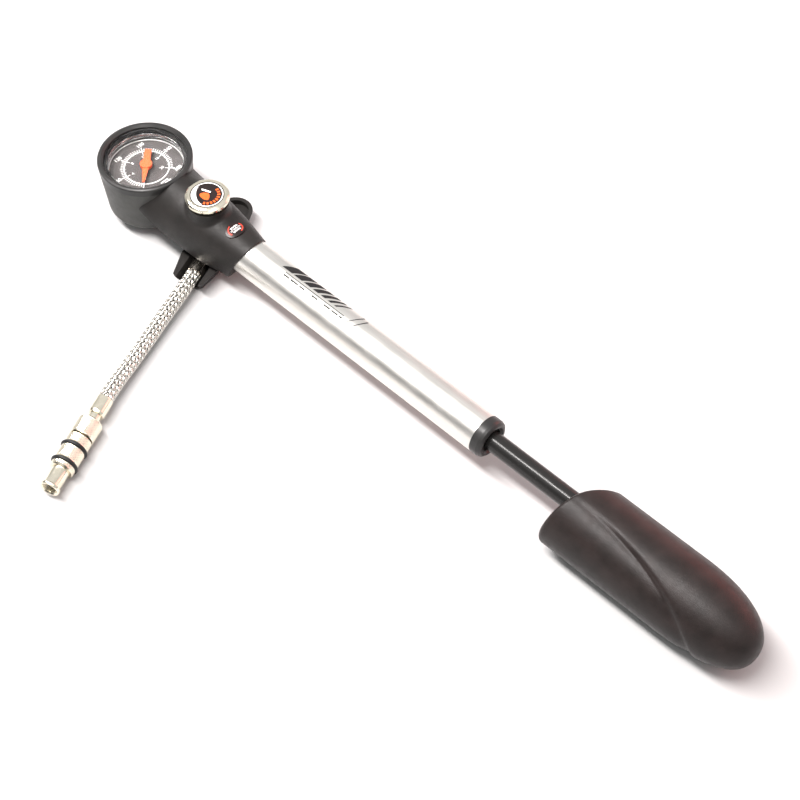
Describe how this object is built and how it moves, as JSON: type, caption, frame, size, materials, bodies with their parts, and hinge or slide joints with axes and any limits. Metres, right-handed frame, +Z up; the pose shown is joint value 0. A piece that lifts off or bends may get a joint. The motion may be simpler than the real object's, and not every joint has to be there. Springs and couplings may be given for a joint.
{
  "type": "suspension fork pump",
  "caption": "Hand shock pump with a dial gauge, bleed button, swivelling braided hose with valve chuck, aluminium barrel, sliding rod and bullet-shaped grip.",
  "frame": {"origin": "where the hose swivel's axis meets the surface that the pump lies on, on the underside of the swivel arm", "axes": "+X along the barrel from the gauge towards the handle, +Y across it away from the hose, +Z up, the way the gauge faces"},
  "size_m": [0.4202, 0.1881, 0.0452],
  "materials": {
    "black_plastic": "matte, finely grained",
    "bezel_plastic": "satin",
    "clear_lens": "clear",
    "seal_rubber": "satin",
    "dial_grey": "printed",
    "steel": "turned",
    "brass": "turned",
    "emblem": "gloss printed",
    "barrel_aluminium": "satin anodised",
    "nickel": "bright nickel",
    "needle_orange": "satin",
    "rod_black": "gloss black",
    "handle_plastic": "soft matte",
    "dark_nickel": "smoked chrome",
    "braid": "woven wire"
  },
  "bodies": {
    "barrel": {"gauge_housing": "black_plastic", "gauge_bezel": "bezel_plastic", "gauge_lens": "clear_lens", "lens_seal": "seal_rubber", "gauge_dial": "dial_grey", "sector_pin": "steel", "movement_plate": "brass", "movement_bridge": "brass", "bourdon_tube": "brass", "gauge_stem": "brass", "stem_seal": "seal_rubber", "head_body": "black_plastic", "head_badge": "emblem", "bleed_bush": "brass", "bleed_spring": "steel", "valve_plug": "barrel_aluminium", "plug_seal": "seal_rubber", "valve_retainer": "brass", "check_spring": "steel", "barrel_tube": "barrel_aluminium", "end_cap": "bezel_plastic", "guide_bush": "bezel_plastic", "end_bumper": "seal_rubber", "swivel_bolt": "nickel", "swivel_seals": "seal_rubber"},
    "needle": {"gauge_needle": "needle_orange", "needle_arbor": "steel", "gauge_pinion": "brass"},
    "sector": {"sector_gear": "brass"},
    "button": {"bleed_button": "nickel", "button_emblem": "emblem", "bleed_stem": "steel", "bleed_seal": "seal_rubber"},
    "poppet": {"check_poppet": "seal_rubber"},
    "rod": {"rod_tube": "rod_black", "piston": "bezel_plastic", "piston_seal": "seal_rubber", "piston_screw": "steel", "rod_plug": "barrel_aluminium", "rod_end_plug": "barrel_aluminium", "handle_screw": "steel"},
    "handle": {"handle_shell": "handle_plastic", "handle_core": "bezel_plastic"},
    "hose_arm": {"swivel_arm": "black_plastic", "swivel_block": "nickel", "hose_ferrule": "dark_nickel", "hose": "braid", "chuck_ferrule": "nickel", "chuck_stem": "nickel", "depressor_pin": "brass"},
    "chuck": {"chuck_sleeve": "nickel", "grip_rings": "seal_rubber", "chuck_seal": "seal_rubber"}
  },
  "joints": [
    {"name": "rod_slide", "type": "slide", "parent": "barrel", "child": "rod", "axis": [1, 0, 0], "range_m": [-0.105, 0.033]},
    {"name": "handle_turn", "type": "hinge", "parent": "rod", "child": "handle", "pos_m": [0.31, 0, 0.0213], "axis": [1, 0, 0], "continuous": true},
    {"name": "bleed_press", "type": "slide", "parent": "barrel", "child": "button", "axis": [0, 0, -1], "range_m": [0, 0.002], "stiffness_N_per_m": 400, "springref_m": -0.004, "deforming": ["bleed_spring"]},
    {"name": "hose_swivel", "type": "hinge", "parent": "barrel", "child": "hose_arm", "pos_m": [0, 0, 0], "axis": [0, 0, 1], "range_deg": [-65, 30]},
    {"name": "chuck_spin", "type": "hinge", "parent": "hose_arm", "child": "chuck", "pos_m": [0.04548, -0.13065, 0.0072], "axis": [0.3665, -0.9304, 0], "continuous": true},
    {"name": "needle_turn", "type": "hinge", "parent": "barrel", "child": "needle", "pos_m": [-0.0477, 0, 0.03], "axis": [0, 0, -1], "range_deg": [0, 270], "stiffness_Nm_per_rad": 0.0001, "springref_deg": -11.46},
    {"name": "sector_swing", "type": "hinge", "parent": "barrel", "child": "sector", "pos_m": [-0.0621, 0, 0.021], "axis": [0, 0, -1], "range_deg": [-54, 0]},
    {"name": "check_lift", "type": "slide", "parent": "barrel", "child": "poppet", "axis": [-1, 0, 0], "range_m": [0, 0.001], "stiffness_N_per_m": 150, "springref_m": -0.003}
  ],
  "couplings": [
    {"joint": "sector_swing", "follows": "needle_turn", "ratio": -0.2}
  ]
}
